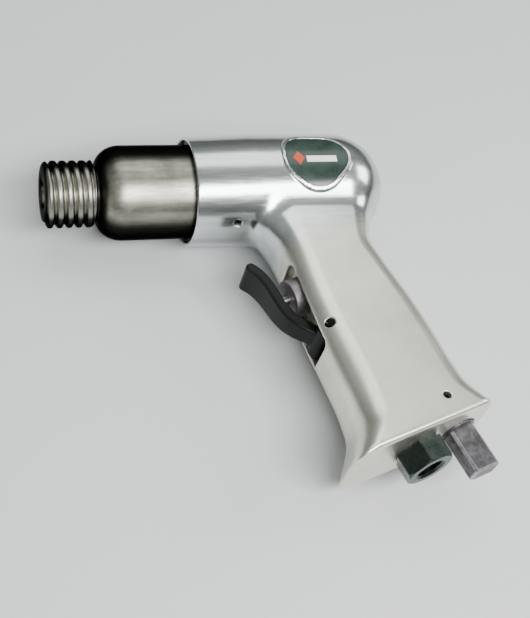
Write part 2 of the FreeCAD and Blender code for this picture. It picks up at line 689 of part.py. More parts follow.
def regulator():
    """The rotary air regulator: a spindle with a cross port, and a rectangular key to turn it."""
    spindle = up_grip(REG_SPINDLE_R, REG_X, GRIP_BASE - 0.6, REG_TOP - 0.3)
    key = box(REG_X - REG_KEY_WIDTH / 2, REG_X + REG_KEY_WIDTH / 2, REG_KEY_END, GRIP_BASE - 0.6,
              -REG_KEY_DEPTH / 2, REG_KEY_DEPTH / 2)
    key = key.makeChamfer(0.8, [e for e in key.Edges if not edges_at(1, GRIP_BASE - 0.6)(e)])
    groove = up_grip(REG_SPINDLE_R + 1, REG_X, REG_PIN_Y - 1.7, REG_PIN_Y + 1.7)
    groove = groove.cut(up_grip(REG_PIN_OFFSET - REG_PIN_R - 0.15, REG_X, REG_PIN_Y - 2, REG_PIN_Y + 2))
    hollow = [
        groove,
        Part.makeTorus(REG_SPINDLE_R, REG_RING_R + 0.1, Vec(REG_X, REG_RING_Y, 0), Y),
        bar(REG_PORT_R, (REG_X - 10, REG_PORT_Y, 0), (REG_X, REG_PORT_Y, 0)),
        up_grip(REG_PORT_R, REG_X, REG_PORT_Y, REG_TOP + 1),
    ]
    return from_grip(spindle.fuse(key).cut(hollow))


def regulator_o_ring():
    ring = Part.makeTorus(REG_SPINDLE_R, REG_RING_R, Vec(REG_X, REG_RING_Y, 0), Y)
    return from_grip(ring.common(up_grip(REG_SPINDLE_R + 0.02, REG_X, REG_RING_Y - 2, REG_RING_Y + 2)))


def regulator_pin():
    """The cross pin that runs in the spindle's groove, so the regulator turns but stays in."""
    x = REG_X - REG_PIN_OFFSET
    return from_grip(bar(REG_PIN_R, (x, REG_PIN_Y, -14.4), (x, REG_PIN_Y, 14.4)))


PARTS = (
    housing, cylinder, exhaust_deflector, lock_screw, badge,
    cylinder_o_ring, piston, valve_seat, valve_disc, valve_cap, valve_dowel, valve_gasket,
    trigger, trigger_pin, throttle_bush, throttle_stem, poppet_washer, stem_o_ring, bush_o_ring,
    throttle_spring, inlet_bushing, inlet_gasket, inlet_screen,
    regulator, regulator_o_ring, regulator_pin,
)

os.makedirs("parts", exist_ok=True)
for make in PARTS:
    shape = make()
    print(make.__name__, len(shape.Solids), shape.isValid(), round(shape.Volume, 1))
    shape.exportStep("parts/" + make.__name__ + ".step")
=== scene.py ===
"""The looks of a pistol-grip air hammer lying on its side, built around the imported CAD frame.

Metres throughout, in the CAD's own frame: the nose face's centre is the origin, +X runs back
along the barrel, +Y from the grip to the top of the barrel, and +Z up, out of the left side.
The shapes below are worked out in millimetres and scaled by MM when they become meshes.
"""
import json
import math
import bpy
import numpy as np
from mathutils import Matrix, Vector


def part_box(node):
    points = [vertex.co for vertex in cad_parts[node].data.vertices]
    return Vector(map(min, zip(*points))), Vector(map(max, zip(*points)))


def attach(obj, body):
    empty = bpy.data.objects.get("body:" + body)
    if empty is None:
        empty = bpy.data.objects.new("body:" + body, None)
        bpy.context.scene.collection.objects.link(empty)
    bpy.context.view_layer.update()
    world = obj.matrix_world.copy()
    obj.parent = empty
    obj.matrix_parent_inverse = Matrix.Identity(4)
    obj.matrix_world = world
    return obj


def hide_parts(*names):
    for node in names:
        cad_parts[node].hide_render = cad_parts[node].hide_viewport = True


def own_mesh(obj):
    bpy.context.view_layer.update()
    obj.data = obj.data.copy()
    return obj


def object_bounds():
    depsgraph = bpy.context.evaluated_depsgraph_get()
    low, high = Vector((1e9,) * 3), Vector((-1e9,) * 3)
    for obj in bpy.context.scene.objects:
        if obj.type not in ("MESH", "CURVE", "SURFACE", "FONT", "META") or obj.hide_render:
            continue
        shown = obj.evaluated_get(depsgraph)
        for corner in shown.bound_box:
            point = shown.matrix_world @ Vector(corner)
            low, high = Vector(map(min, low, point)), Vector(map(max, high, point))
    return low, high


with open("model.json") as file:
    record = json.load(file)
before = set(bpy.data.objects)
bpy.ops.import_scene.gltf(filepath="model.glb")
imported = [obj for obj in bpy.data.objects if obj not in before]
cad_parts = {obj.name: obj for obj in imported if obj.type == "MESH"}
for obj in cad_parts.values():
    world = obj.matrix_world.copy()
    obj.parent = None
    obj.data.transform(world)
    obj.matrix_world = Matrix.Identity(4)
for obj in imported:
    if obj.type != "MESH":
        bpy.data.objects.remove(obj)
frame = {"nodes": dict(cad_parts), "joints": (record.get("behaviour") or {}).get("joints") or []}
CAD_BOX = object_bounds()
MM = 0.001
JOINTS = {j["name"]: j for j in frame["joints"]}


def corners_mm(node):
    """The lowest and highest corner of a CAD node, in millimetres."""
    low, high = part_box(node)
    return np.array(low) / MM, np.array(high) / MM


# ---------------------------------------------------------------- sizes, in millimetres

HOUSING_LOW, HOUSING_HIGH = corners_mm("housing")
CYLINDER_HIGH = corners_mm("cylinder")[1]
MOUTH_X = HOUSING_LOW[0]
BARREL_R = HOUSING_HIGH[1]
BARREL_TAPER = 1.0
MOUTH_R = BARREL_R - BARREL_TAPER
MOUTH_BORE_R = 21.8
MOUTH_DEPTH = 10.0
MOUTH_EDGE_R = 0.9
BARREL_FULL_X = 88.0
TOOL_LENGTH = 150.0
DOME_X = TOOL_LENGTH - BARREL_R

CYLINDER_R = CYLINDER_HIGH[2]
CYLINDER_END = CYLINDER_HIGH[0]
CYLINDER_THREAD_R = 19.0
CYLINDER_THREAD_START = 74.0
SEAT_GAP = 0.03
THREAD_R = 14.0
THREAD_PITCH = 4.0
THREAD_GROOVE = 1.625
THREAD_SHARPNESS = 2.2
THREAD_END = 20.0
THREAD_STATION = 0.25
LEAD_IN = 1.6
LEAD_IN_DROP = 1.7
RUN_OUT_END = THREAD_END + 0.6
RUN_OUT = 2.0
NECK_R = 11.5
NECK_STEP = 0.4
NECK_SHORT = 0.3
SHOULDER_START = 22.0
SHOULDER_LENGTH = 10.35
SHOULDER_STEPS = 24
SHANK_R = 5.15
NOSE_FLARE = 0.7
NOSE_FLARE_DEPTH = 0.6
BORE_START = 31.0
BORE_R = 9.55
CHAMFER = 0.5
TAIL_CHAMFER = 0.6
STACK_R = 18.53
STACK_END = 113.5
PLENUM_R = 10.0
PLENUM_END = 124.0

GRIP_X = 99.4
GRIP_BASE = -133.0
GRIP_BASE_R = 2.6
GRIP_TOP = -10.0
GRIP_TOP_R = 6.0
CREASE_R = 4.2
LEAN_AXIS = JOINTS["throttle_slide"]["axis"]
LEAN = math.atan2(LEAN_AXIS[1], LEAN_AXIS[0])
# level up the grip, front, rear, half thickness, front corner radius, rear corner radius
GRIP_SECTIONS = np.array((
    (-8.0, -20.5, 34.0, 15.4, 15.0, 15.0),
    (-16.0, -19.5, 36.5, 15.4, 15.0, 15.0),
    (-23.0, -18.2, 36.2, 15.4, 14.0, 14.5),
    (-30.0, -17.0, 33.4, 15.3, 12.0, 13.0),
    (-37.0, -16.7, 28.0, 15.2, 10.5, 11.0),
    (-44.0, -17.6, 23.4, 15.3, 10.0, 9.5),
    (-56.0, -20.0, 22.9, 15.0, 10.0, 9.0),
    (-75.0, -23.2, 23.8, 15.0, 10.5, 9.0),
    (-95.0, -25.6, 23.6, 15.0, 11.0, 9.0),
    (-110.0, -27.6, 22.6, 15.3, 11.0, 9.0),
    (-120.0, -30.6, 22.6, 16.0, 11.0, 9.0),
    (-128.0, -37.0, 24.4, 17.0, 10.0, 8.0),
    (-133.0, -41.5, 26.0, 17.4, 9.0, 7.0),
))
CHANNEL_TOP = -43.0
CHANNEL_BOTTOM = -83.6
CHANNEL_FLOOR = -12.0
CHANNEL_HALF = 8.7
CHANNEL_CORNER_R = 3.0
CHANNEL_EDGE_R = 1.2

BADGE_X = 114.0
BADGE_Y = -2.8
# the badge's outline: corner x, corner y, corner radius
BADGE_CORNERS = (
    (-12.9, 12.5, 9.0),
    (10.4, 11.8, 11.0),
    (15.2, -1.4, 9.0),
    (0.2, -15.4, 12.0),
    (-14.6, -4.6, 10.0),
)
BADGE_RIM = 1.6
BADGE_RIM_R = 25.0
BADGE_RIM_EDGE_R = 0.7
BADGE_SEAT_R = 23.5
BADGE_SEAT_EDGE_R = 0.5
BADGE_ABOVE = 8.0

THROTTLE_Y = -54.2
SPRING_SEAT = 15.0
INLET_X = -7.6
REGULATOR_X = 13.0
KEY_END = -153.0
KEY_HALF_WIDTH = 5.8
KEY_HALF_DEPTH = 4.0
KEY_BEVEL = 0.8
# how far a hole is carved past the face it opens in
OVERSHOOT = 5.0
# holes across the grip: level, radius, start, end
GRIP_HOLES_ACROSS = (
    (THROTTLE_Y, 6.63, CHANNEL_FLOOR - 3.0, 0.0),
    (THROTTLE_Y, 5.6, -1.0, SPRING_SEAT),
)
# holes up the grip from its base: place across the grip, radius, start, end
GRIP_HOLES_UP = (
    (INLET_X, 8.63, GRIP_BASE - OVERSHOOT, -117.0),
    (INLET_X, 4.6, -118.0, -106.0),
    (REGULATOR_X, 7.6, GRIP_BASE - OVERSHOOT, -106.0),
)
TRIGGER_PIN_HOLE_R = 1.85
REGULATOR_PIN_HOLE_R = 1.6
PIN_HOLE_HALF = 30.0
LOCK_X = 78.0
LOCK_ANGLE = math.radians(164.0)
LOCK_R = 1.63
LOCK_INNER = 15.0
LOCK_OUTER = 30.0
BORE_EDGE_R = 0.6
HOLE_EDGE_R = 0.5
PIN_EDGE_R = 0.45

# the housing's mesh: grid step, room around it, value given to filled corners, share of faces kept
GRID_STEP = 0.6
GRID_MARGIN = 1.5
JUST_INSIDE = -0.01
KEPT_FACES = 0.6
# how far apart slopes are measured, the least slope squared, and the longest move in one round
SLOPE_REACH = 0.04
SLOPE_FLOOR = 0.05
LONGEST_MOVE = 0.4
CYLINDER_SIDES = 128


# ---------------------------------------------------------------- distance fields

def blend_min(a, b, width):
    """Union of two distance fields, rounded over a width."""
    h = np.maximum(width - np.abs(a - b), 0.0) / width
    return np.minimum(a, b) - h * h * width * 0.25


def carve(body, hollow, width):
    """Takes a hollow out of a body, with the edge rounded over a width."""
    return -blend_min(-body, hollow, width)


def to_grip(x, y):
    """Row frame to the grip's own frame: x across the grip to the rear, y up the grip."""
    c, s = math.cos(LEAN), math.sin(LEAN)
    return (x - GRIP_X) * c + y * s, y * c - (x - GRIP_X) * s


def smooth_table(levels, rows, column):
    """One column of a table at every level, as a smooth curve through the rows."""
    at = rows[::-1, 0]
    value = rows[::-1, column]
    slope = np.gradient(value, at)
    i = np.clip(np.searchsorted(at, levels) - 1, 0, len(at) - 2)
    span = at[i + 1] - at[i]
    t = np.clip((levels - at[i]) / span, 0.0, 1.0)
    rise = t * t * (3.0 - 2.0 * t)
    ease_in = t * (1.0 - t) ** 2 * span * slope[i]
    ease_out = t * t * (t - 1.0) * span * slope[i + 1]
    return value[i] * (1.0 - rise) + value[i + 1] * rise + ease_in + ease_out


def barrel_distance(x, rho):
    """A tapered tube with a round rear end and a rounded front edge."""
    radius = np.interp(x, (MOUTH_X, BARREL_FULL_X), (MOUTH_R, BARREL_R))
    side = np.hypot(np.maximum(x - DOME_X, 0.0), rho) - radius
    return carve(side, x - MOUTH_X, MOUTH_EDGE_R)


def grip_distance(gx, gy, z):
    """The grip: a rectangle with round corners that changes size down its length."""
    levels = np.clip(gy, GRIP_BASE, GRIP_SECTIONS[0, 0])
    front, rear, half, front_r, rear_r = (smooth_table(levels, GRIP_SECTIONS, i) for i in range(1, 6))
    middle = (front + rear) / 2
    corner = np.where(gx < middle, front_r, rear_r)
    across = np.abs(gx - middle) - (rear - front) / 2 + corner
    thick = np.abs(z) - half + corner
    side = np.minimum(np.maximum(across, thick), 0.0) - corner
    side = side + np.hypot(np.maximum(across, 0.0), np.maximum(thick, 0.0))
    return carve(carve(side, gy - GRIP_BASE, GRIP_BASE_R), GRIP_TOP - gy, GRIP_TOP_R)


def rounded_outline(corners, step=math.radians(8)):
    """Points along a closed outline whose corners are rounded by tangent arcs."""
    points = []
    count = len(corners)
    for i in range(count):
        here = Vector(corners[i][:2])
        back = (Vector(corners[i - 1][:2]) - here).normalized()
        on = (Vector(corners[(i + 1) % count][:2]) - here).normalized()
        half = back.angle(on) / 2
        radius = corners[i][2]
        centre = here + (back + on).normalized() * (radius / math.sin(half))
        start = here + back * (radius / math.tan(half)) - centre
        sweep = math.pi - 2 * half
        turn = 1.0 if back.x * on.y - back.y * on.x < 0 else -1.0
        steps = max(2, int(sweep / step))
        for k in range(steps + 1):
            points.append(centre + start @ Matrix.Rotation(-turn * sweep * k / steps, 2))
    return np.array(points)


def outline_distance(x, y, points):
    """Signed distance from a closed outline in the plane, negative inside."""
    best = np.full(x.shape, 1e9)
    inside = np.zeros(x.shape, bool)
    for (ax, ay), (bx, by) in zip(points, np.roll(points, -1, axis=0)):
        ex, ey = bx - ax, by - ay
        t = np.clip(((x - ax) * ex + (y - ay) * ey) / (ex * ex + ey * ey + 1e-12), 0.0, 1.0)
        best = np.minimum(best, (x - ax - t * ex) ** 2 + (y - ay - t * ey) ** 2)
        crosses = (ay > y) != (by > y)
        inside ^= crosses & (x < ax + (y - ay) * ex / (ey + 1e-12))
    return np.where(inside, -1.0, 1.0) * np.sqrt(best)


def rod(along, off_a, off_b, radius, start, end):
    """A straight round hole, from its coordinate along and the two across."""
    return np.maximum(np.hypot(off_a, off_b) - radius, np.maximum(start - along, along - end))


BADGE_POINTS = rounded_outline(BADGE_CORNERS)
PIVOT = to_grip(*(place / MM for place in JOINTS["trigger_pull"]["pos_m"][:2]))
REGULATOR_PIN = to_grip(*(sum(corners_mm("regulator_pin")) / 2)[:2])
PIN_HOLES = ((*PIVOT, TRIGGER_PIN_HOLE_R), (*REGULATOR_PIN, REGULATOR_PIN_HOLE_R))


def housing_distance(x, y, z):
    """The cast housing: barrel and grip run together, less its hollows, with the badge's raised rim."""
    rho = np.hypot(y, z)
    gx, gy = to_grip(x, y)
    body = blend_min(barrel_distance(x, rho), grip_distance(gx, gy, z), CREASE_R)
    plan = outline_distance(x - BADGE_X, y - BADGE_Y, BADGE_POINTS)
    rim = np.maximum(np.maximum(plan - BADGE_RIM, rho - BADGE_RIM_R), BADGE_ABOVE - z)
    body = blend_min(body, rim, BADGE_RIM_EDGE_R)
    recess = np.maximum(np.maximum(plan, BADGE_SEAT_R - rho), BADGE_ABOVE - z)
    body = carve(body, recess, BADGE_SEAT_EDGE_R)
    bore = np.minimum.reduce([
        rod(x, y, z, MOUTH_BORE_R, MOUTH_X - OVERSHOOT, MOUTH_X + MOUTH_DEPTH),
        rod(x, y, z, CYLINDER_R + SEAT_GAP, MOUTH_X, CYLINDER_THREAD_START),
        rod(x, y, z, CYLINDER_THREAD_R, MOUTH_X, CYLINDER_END),
        rod(x, y, z, STACK_R, MOUTH_X, STACK_END),
        rod(x, y, z, PLENUM_R, MOUTH_X, PLENUM_END),
    ])
    body = carve(body, bore, BORE_EDGE_R)
    level = np.abs(gy - (CHANNEL_TOP + CHANNEL_BOTTOM) / 2) - (CHANNEL_TOP - CHANNEL_BOTTOM) / 2
    channel = np.hypot(np.maximum(level + CHANNEL_CORNER_R, 0.0),
                       np.maximum(np.abs(z) - CHANNEL_HALF + CHANNEL_CORNER_R, 0.0)) - CHANNEL_CORNER_R
    body = carve(body, np.maximum(channel, gx - CHANNEL_FLOOR), CHANNEL_EDGE_R)
    for centre, radius, start, end in GRIP_HOLES_UP:
        body = carve(body, rod(gy, gx - centre, z, radius, start, end), HOLE_EDGE_R)
    for centre, radius, start, end in GRIP_HOLES_ACROSS:
        body = carve(body, rod(gx, gy - centre, z, radius, start, end), HOLE_EDGE_R)
    for px, py, radius in PIN_HOLES:
        body = carve(body, rod(z, gx - px, gy - py, radius, -PIN_HOLE_HALF, PIN_HOLE_HALF), PIN_EDGE_R)
    lock_y, lock_z = math.cos(LOCK_ANGLE), math.sin(LOCK_ANGLE)
    lock = rod(y * lock_y + z * lock_z, x - LOCK_X, y * lock_z - z * lock_y, LOCK_R, LOCK_INNER, LOCK_OUTER)
    return carve(body, lock, PIN_EDGE_R)


# ---------------------------------------------------------------- meshes

def fill_pinches(field):
    """Fills one corner of each grid square whose inside corners only touch across a diagonal."""
    pinched = True
    while pinched:
        pinched = False
        for axis in range(3):
            sides = [[slice(None)] * 3 for _ in range(4)]
            for side, offsets in zip(sides, ((0, 0), (1, 0), (0, 1), (1, 1))):
                for a, offset in zip([a for a in range(3) if a != axis], offsets):
                    side[a] = slice(offset, field.shape[a] - 1 + offset)
            a, b, c, d = (field[tuple(side)] < 0 for side in sides)
            for square in np.argwhere((a == d) & (b == c) & (a != b)):
                first = tuple(square)
                second = list(square)
                second[(axis + 1) % 3] += 1
                field[first if field[first] >= 0 else tuple(second)] = JUST_INSIDE
                pinched = True


def surface_net(distance, low, high, step):
    """Vertices and quads of the surface where a distance field is zero, from a grid of that step."""
    axes = [np.arange(a, b + step, step) for a, b in zip(low, high)]
    shape = [len(a) for a in axes]
    field = np.empty(shape, np.float32)
    gy, gz = np.meshgrid(axes[1], axes[2], indexing="ij")
    for i, x in enumerate(axes[0]):
        field[i] = distance(np.full(gy.shape, x), gy, gz)
    fill_pinches(field)
    inside = field < 0
    cells = [n - 1 for n in shape]
    steps = [(i, j, k) for i in (0, 1) for j in (0, 1) for k in (0, 1)]

    def shifted(grid, offset):
        return grid[tuple(slice(o, o + n) for o, n in zip(offset, cells))]

    count = sum(shifted(inside, s).astype(np.int8) for s in steps)
    active = (count > 0) & (count < 8)
    at = np.argwhere(active)
    index = np.full(cells, -1, np.int64)
    index[active] = np.arange(len(at))
    total = np.zeros((len(at), 3))
    hits = np.zeros((len(at), 1))
    for start in steps:
        for axis in range(3):
            if start[axis]:
                continue
            end = list(start)
            end[axis] = 1
            a = field[tuple((at + start).T)]
            b = field[tuple((at + end).T)]
            cross = (a < 0) != (b < 0)
            t = np.where(cross, a / np.where(cross, a - b, 1.0), 0.0)
            point = np.array(start, float) + np.outer(t, np.eye(3)[axis])
            total += point * cross[:, None]
            hits += cross[:, None]
    vertices = np.array([a[0] for a in axes]) + step * (at + total / hits)
    quads = []
    for axis in range(3):
        u, v = [a for a in range(3) if a != axis]
        low_side = [slice(None)] * 3
        high_side = [slice(None)] * 3
        low_side[axis] = slice(0, -1)
        high_side[axis] = slice(1, None)
        for a in (u, v):
            low_side[a] = slice(1, -1)
            high_side[a] = slice(1, -1)
        first, second = inside[tuple(low_side)], inside[tuple(high_side)]
        edge = np.argwhere(first != second)
        enters = second[tuple(edge.T)]
        cell = edge.copy()
        around = []
        for du, dv in ((0, 0), (1, 0), (1, 1), (0, 1)):
            c = cell.copy()
            c[:, u] += du
            c[:, v] += dv
            around.append(index[tuple(c.T)])
        quad = np.stack(around, axis=1)
        flip = enters if axis != 1 else ~enters
        quad[flip] = quad[flip][:, ::-1]
        quads.append(quad)
    return vertices, np.concatenate(quads)


def gradient_of(distance, points):
    """The direction in which a distance field grows, at each point."""
    grown = []
    for axis in np.eye(3) * SLOPE_REACH:
        ahead = distance(*(points + axis).T)
        behind = distance(*(points - axis).T)
        grown.append((ahead - behind) / (2 * SLOPE_REACH))
    return np.stack(grown, axis=1)


def settle(distance, points, rounds):
    """Moves points onto the surface of a distance field."""
    for _ in range(rounds):
        slope = gradient_of(distance, points)
        size = np.maximum((slope ** 2).sum(axis=1), SLOPE_FLOOR)
        move = np.clip(distance(*points.T) / size, -LONGEST_MOVE, LONGEST_MOVE)
        points = points - slope * move[:, None]
    return points


def mesh_object(name, vertices, faces):
    """A smooth-shaded mesh object from vertices in millimetres."""
    mesh = bpy.data.meshes.new(name)
    mesh.from_pydata((np.asarray(vertices) * MM).tolist(), [], [tuple(map(int, f)) for f in faces])
    mesh.validate()
    mesh.polygons.foreach_set("use_smooth", [True] * len(mesh.polygons))
    thing = bpy.data.objects.new(name, mesh)
    bpy.context.scene.collection.objects.link(thing)
    return thing


def applied(thing):
    """Bakes an object's modifiers into its mesh."""
    bpy.context.view_layer.update()
    graph = bpy.context.evaluated_depsgraph_get()
    mesh = bpy.data.meshes.new_from_object(thing.evaluated_get(graph))
    thing.modifiers.clear()
    thing.data = mesh
    return thing


def housing_piece():
    """The smooth cast housing, from its distance field."""
    low = HOUSING_LOW - GRID_MARGIN
    high = HOUSING_HIGH + GRID_MARGIN
    vertices, quads = surface_net(housing_distance, low, high, GRID_STEP)
    vertices = settle(housing_distance, vertices, 3)
    thing = mesh_object("housing_shell", vertices, quads)
    thin = thing.modifiers.new("thin", "DECIMATE")
    thin.ratio = KEPT_FACES
    applied(thing)
    mesh = thing.data
    points = np.empty(len(mesh.vertices) * 3, np.float32)
    mesh.vertices.foreach_get("co", points)
    points = settle(housing_distance, points.reshape(-1, 3).astype(float) / MM, 2)
    mesh.vertices.foreach_set("co", (points * MM).astype(np.float32).ravel())
    mesh.update()
    normals = gradient_of(housing_distance, points)
    normals /= np.maximum(np.linalg.norm(normals, axis=1, keepdims=True), 1e-6)
    mesh.normals_split_custom_set_from_vertices(normals.tolist())
    return thing


def revolved(name, profile, around):
    """A closed solid of revolution about X, from (x, radius) points. A radius may depend on the angle."""
    angles = np.arange(around) * 2 * math.pi / around
    rings = []
    for x, radius in profile:
        r = radius(angles) if callable(radius) else np.full(around, float(radius))
        rings.append(np.stack([np.full(around, float(x)), r * np.cos(angles), r * np.sin(angles)], axis=1))
    vertices = np.concatenate(rings)
    faces = []
    count = len(profile)
    for i in range(count):
        here, on = i * around, ((i + 1) % count) * around
        for k in range(around):
            n = (k + 1) % around
            faces.append((here + k, here + n, on + n, on + k))
    return mesh_object(name, vertices, faces)


def thread_radius(x):
    """The nose's radius at x as a function of the angle: a rounded helical thread, faded at both ends."""
    lead = min(1.0, max(0.0, x / LEAD_IN))
    run_out = min(1.0, max(0.0, (RUN_OUT_END - x) / RUN_OUT))

    def radius(angles):
        wave = 0.5 - 0.5 * np.cos(2 * math.pi * x / THREAD_PITCH - angles)
        groove = THREAD_GROOVE * wave ** THREAD_SHARPNESS
        crest = THREAD_R - (1.0 - math.sin(lead * math.pi / 2)) * LEAD_IN_DROP
        return np.minimum(crest - groove * run_out, crest)
    return radius


def cylinder_piece():
    """The steel cylinder: threaded nose, neck, domed shoulder and barrel, bored through."""
    profile = [(NOSE_FLARE_DEPTH, SHANK_R), (0.0, SHANK_R + NOSE_FLARE)]
    steps = int(THREAD_END / THREAD_STATION)
    profile += [(THREAD_END * i / steps, thread_radius(THREAD_END * i / steps)) for i in range(steps + 1)]
    neck = THREAD_END + CHAMFER
    profile += [(neck, NECK_R + NECK_STEP), (neck + CHAMFER, NECK_R), (SHOULDER_START - NECK_SHORT, NECK_R)]
    rise = CYLINDER_R - NECK_R
    for i in range(1, SHOULDER_STEPS + 1):
        a = math.pi / 2 * i / SHOULDER_STEPS
        x = SHOULDER_START + SHOULDER_LENGTH * (1 - math.cos(a))
        profile.append((x, NECK_R + rise * math.sin(a)))
    thread_r = CYLINDER_THREAD_R - SEAT_GAP
    profile += [(MOUTH_X - 2, CYLINDER_R), (CYLINDER_THREAD_START - CHAMFER, CYLINDER_R),
                (CYLINDER_THREAD_START, thread_r), (CYLINDER_END - TAIL_CHAMFER, thread_r),
                (CYLINDER_END, CYLINDER_THREAD_R - TAIL_CHAMFER), (CYLINDER_END, BORE_R + CHAMFER),
                (CYLINDER_END - CHAMFER, BORE_R), (BORE_START + CHAMFER, BORE_R),
                (BORE_START, BORE_R - CHAMFER), (BORE_START, SHANK_R)]
    return revolved("cylinder_shell", profile, CYLINDER_SIDES)


# ---------------------------------------------------------------- materials

class Paint:
    """A procedural material under construction, in object space and metres. Each call adds its nodes."""

    def __init__(self, name, **sockets):
        self.material = bpy.data.materials.new(name)
        self.material.use_nodes = True
        self.tree = self.material.node_tree
        self.tree.nodes.clear()
        self.output = self.tree.nodes.new("ShaderNodeOutputMaterial")
        self.shader = self.tree.nodes.new("ShaderNodeBsdfPrincipled")
        self.tree.links.new(self.shader.outputs[0], self.output.inputs["Surface"])
        for socket, value in sockets.items():
            self.shader.inputs[socket.replace("_", " ")].default_value = value
        self.place = self.tree.nodes.new("ShaderNodeTexCoord").outputs["Object"]

    def put(self, target, value):
        """Links an output or sets a plain value."""
        if isinstance(value, bpy.types.NodeSocket):
            self.tree.links.new(value, target)
        else:
            target.default_value = value

    def node(self, kind, **inputs):
        made = self.tree.nodes.new(kind)
        for name, value in inputs.items():
            self.put(made.inputs[name.replace("_", " ")], value)
        return made

    def turned(self, scale=(1, 1, 1), angle=0.0):
        """Object coordinates, turned about Z and then scaled."""
        turn = self.node("ShaderNodeMapping", Vector=self.place, Rotation=(0, 0, -angle))
        return self.node("ShaderNodeMapping", Vector=turn.outputs[0], Scale=scale).outputs[0]

    def noise(self, scale, detail=4.0, roughness=0.55, where=None):
        made = self.node("ShaderNodeTexNoise", Vector=where or self.place, Scale=scale, Detail=detail,
                         Roughness=roughness)
        return made.outputs["Fac"]

    def spread(self, value, low, high, to_low=0.0, to_high=1.0, smooth=False):
        made = self.node("ShaderNodeMapRange", Value=value)
        made.interpolation_type = "SMOOTHSTEP" if smooth else "LINEAR"
        limits = {"From Min": low, "From Max": high, "To Min": to_low, "To Max": to_high}
        for name, number in limits.items():
            self.put(made.inputs[name], number)
        return made.outputs[0]

    def math(self, operation, a, b=0.0):
        made = self.tree.nodes.new("ShaderNodeMath")
        made.operation = operation
        self.put(made.inputs[0], a)
        self.put(made.inputs[1], b)
        return made.outputs[0]

    def mix(self, factor, a, b):
        """A colour between two colours."""
        made = self.tree.nodes.new("ShaderNodeMix")
        made.data_type = "RGBA"
        self.put(made.inputs["Factor"], factor)
        self.put(made.inputs[6], a if isinstance(a, bpy.types.NodeSocket) else (*a, 1))
        self.put(made.inputs[7], b if isinstance(b, bpy.types.NodeSocket) else (*b, 1))
        return made.outputs[2]

    def axis(self, name, where=None):
        parts = self.node("ShaderNodeSeparateXYZ", Vector=where or self.place)
        return parts.outputs[name]

    def product(self, *values):
        """The values multiplied together."""
        result = values[0]
        for value in values[1:]:
            result = self.math("MULTIPLY", result, value)
        return result

    def away(self, value, centre=0.0):
        """The distance of a value from a centre."""
        return self.math("ABSOLUTE", self.math("SUBTRACT", value, centre))

    def up_grip(self, down):
        """The level up the grip, in metres, from coordinates that are turned to its lean."""
        return self.math("ADD", self.axis("Y", down), GRIP_X * MM * math.sin(LEAN))

    def bump(self, height, strength, distance, under=None):
        made = self.node("ShaderNodeBump", Height=height, Strength=strength, Distance=distance)
        if under:
            self.put(made.inputs["Normal"], under)
        return made.outputs[0]

    def finish(self, colour, roughness, normal=None):
        for name, value in (("Base Color", colour), ("Roughness", roughness), ("Normal", normal)):
            if value is not None:
                self.put(self.shader.inputs[name], value)
        return self.material


# levels up the grip, in metres, between which the barrel's polish gives way to the grip's satin
SATIN_FROM = -0.027
SATIN_FULL = -0.039
SATIN_WANDER = 0.006


def cast_aluminium():
    """Aluminium, polished in streaks along the barrel and satin on the grip."""
    paint = Paint("cast_aluminium", Metallic=1.0)
    along = paint.turned((0.06, 1, 1))
    streaks = paint.noise(1400, 3, 0.6, along)
    broad = paint.noise(90, 3, 0.5, along)
    level = paint.up_grip(paint.turned(angle=LEAN))
    edge = paint.math("ADD", level, paint.product(paint.noise(60, 2), SATIN_WANDER))
    satin = paint.spread(edge, SATIN_FROM, SATIN_FULL, smooth=True)
    grain = paint.noise(2600, 2, 0.6)
    cloud = paint.noise(45, 4, 0.6)
    polished = paint.mix(paint.spread(broad, 0.35, 0.65), (0.45, 0.49, 0.485), (0.76, 0.795, 0.785))
    plain = paint.mix(paint.spread(cloud, 0.35, 0.68), (0.74, 0.74, 0.655), (0.86, 0.86, 0.765))
    smooth = paint.spread(streaks, 0.3, 0.7, 0.15, 0.27)
    matt = paint.spread(grain, 0.3, 0.7, 0.29, 0.39)
    rough = paint.math("ADD", paint.product(smooth, paint.math("SUBTRACT", 1.0, satin)),
                       paint.product(matt, satin))
    lines = paint.bump(streaks, 0.06, 0.00004)
    cast = paint.bump(paint.product(grain, satin), 0.25, 0.00006, lines)
    return paint.finish(paint.mix(satin, polished, plain), rough, cast)


# the line across the barrel, from +Y towards +Z, that runs through both of the cylinder's sides where a
# painted highlight sheen is laid; away from it the colour is painted darker as shade
PAINTED_SHEEN_ANGLE = math.radians(127.0)
# metres back from the nose face, and out from the barrel's axis: the nose face and the neck get painted
# shade, and the thread's crests their lighter colour between these
NOSE_FACE_END = 0.0003
NOSE_FACE_SHADE_GONE = 0.0012
NECK_MIDDLE = 0.0222
NECK_SHADE_FULL = 0.0010
NECK_SHADE_GONE = 0.0030
CREST_FROM = 0.0131
CREST_FULL = 0.0137
CREST_LAST = 0.0195
CREST_GONE = 0.0215


